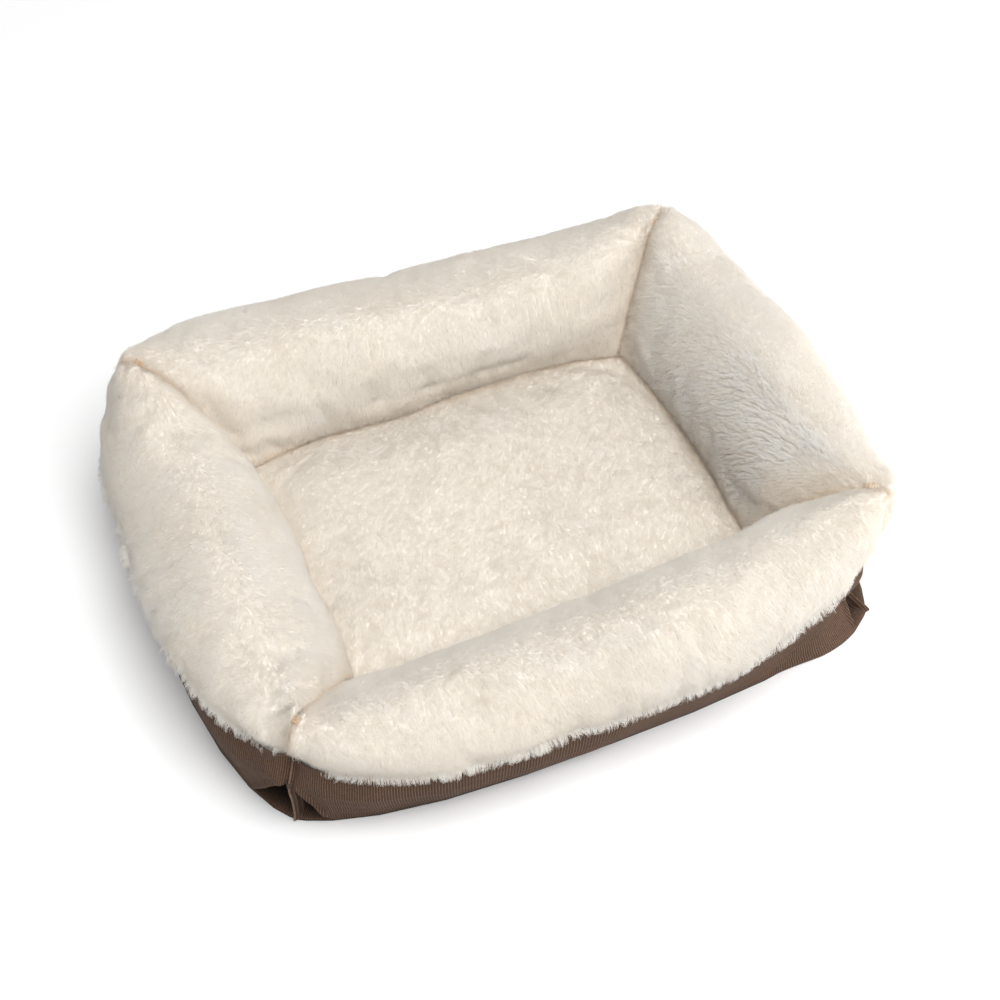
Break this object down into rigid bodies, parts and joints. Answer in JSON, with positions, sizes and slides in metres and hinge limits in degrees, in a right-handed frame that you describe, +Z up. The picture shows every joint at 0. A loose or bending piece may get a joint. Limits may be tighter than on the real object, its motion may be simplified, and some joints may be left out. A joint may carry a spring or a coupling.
{
  "type": "pet cushion bed",
  "caption": "Rectangular cuddler bed: plush covered stuffed bolsters mitred round a padded floor, with a canvas lower wall and base.",
  "frame": {"origin": "on the floor, at the middle of the base panel's underside, half way between the corner seams", "axes": "+X along the length, +Y across the width from the front bolster to the back one, +Z up"},
  "size_m": [0.6318, 0.5187, 0.1661],
  "materials": {
    "plush": "cream long pile plush",
    "canvas": "brown corded canvas",
    "lining": "plain lining cloth",
    "filling": "loose polyester fibre",
    "thread": "brown sewing thread",
    "tan_thread": "tan sewing thread"
  },
  "bodies": {
    "root": {"base_panel": "canvas", "pad_fill": "filling", "pad_cover": "plush", "bolster_fill_front": "filling", "bolster_fill_right": "filling", "bolster_fill_back": "filling", "bolster_fill_left": "filling", "inner_divider_front": "lining", "inner_divider_right": "lining", "inner_divider_back": "lining", "inner_divider_left": "lining", "plush_cover_front": "plush", "plush_cover_right": "plush", "plush_cover_back": "plush", "plush_cover_left": "plush", "outer_panel_front": "canvas", "outer_panel_right": "canvas", "outer_panel_back": "canvas", "outer_panel_left": "canvas", "corner_seam_front_left": "canvas", "corner_seam_front_right": "canvas", "corner_seam_back_right": "canvas", "corner_seam_back_left": "canvas", "corner_bartack_front_left": "thread", "corner_bartack_front_right": "thread", "corner_bartack_back_right": "thread", "corner_bartack_back_left": "thread", "crest_tack_front_left": "tan_thread", "crest_tack_front_right": "tan_thread", "crest_tack_back_right": "tan_thread", "crest_tack_back_left": "tan_thread"}
  },
  "joints": []
}
